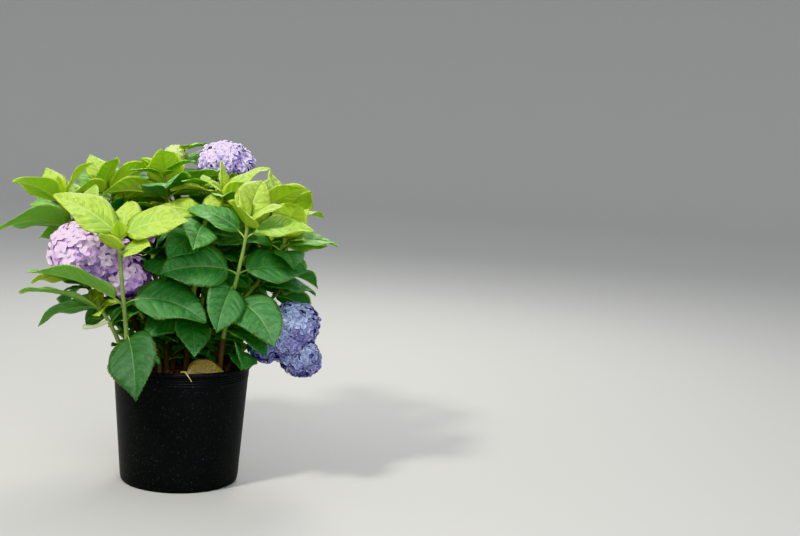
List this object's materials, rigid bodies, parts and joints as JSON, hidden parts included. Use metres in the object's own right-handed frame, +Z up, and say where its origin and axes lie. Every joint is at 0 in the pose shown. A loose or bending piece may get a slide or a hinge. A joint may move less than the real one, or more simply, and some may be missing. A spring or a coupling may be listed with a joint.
{
  "type": "potted hydrangea shrub",
  "caption": "Bigleaf hydrangea shrub in its round nursery pot: woody canes, broad opposite leaves, lime young rosettes, lilac and blue mophead blooms.",
  "frame": {"origin": "middle of the pot's flat underside, on the surface it stands on", "axes": "+Z up, -Y towards the side that the picture shows, +X to that side's right"},
  "size_m": [0.664, 0.5609, 0.669],
  "materials": {
    "pot_plastic": "dusty satin",
    "bark_mix": "rough, moist",
    "cane_bark": "fibrous bark",
    "foliage": "soft satin leaf",
    "flowering": "matt petal",
    "spent_leaf": "dry leaf"
  },
  "bodies": {
    "root": {"pot": "pot_plastic", "soil": "bark_mix", "fallen_leaf": "spent_leaf", "cane_01": "cane_bark", "cane_02": "cane_bark", "cane_03": "cane_bark", "cane_04": "cane_bark", "cane_05": "cane_bark", "cane_06": "cane_bark", "cane_07": "cane_bark", "cane_08": "cane_bark", "cane_09": "cane_bark", "cane_10": "cane_bark", "cane_11": "cane_bark", "cane_12": "cane_bark", "cane_13": "cane_bark", "cane_14": "cane_bark", "cane_15": "cane_bark", "cane_16": "cane_bark", "cane_17": "cane_bark", "cane_18": "cane_bark", "cane_19": "cane_bark", "cane_20": "cane_bark", "cane_21": "cane_bark", "cane_22": "cane_bark", "foliage_01": "foliage", "foliage_02": "foliage", "foliage_03": "foliage", "foliage_04": "flowering", "foliage_05": "flowering", "foliage_06": "foliage", "foliage_07": "foliage", "foliage_08": "foliage", "foliage_09": "foliage", "foliage_10": "flowering", "foliage_11": "foliage", "foliage_12": "flowering", "foliage_13": "foliage", "foliage_14": "flowering", "foliage_15": "foliage", "foliage_16": "foliage", "foliage_17": "foliage", "foliage_18": "flowering", "foliage_19": "foliage", "foliage_20": "foliage", "foliage_21": "foliage", "foliage_22": "foliage"}
  },
  "joints": []
}
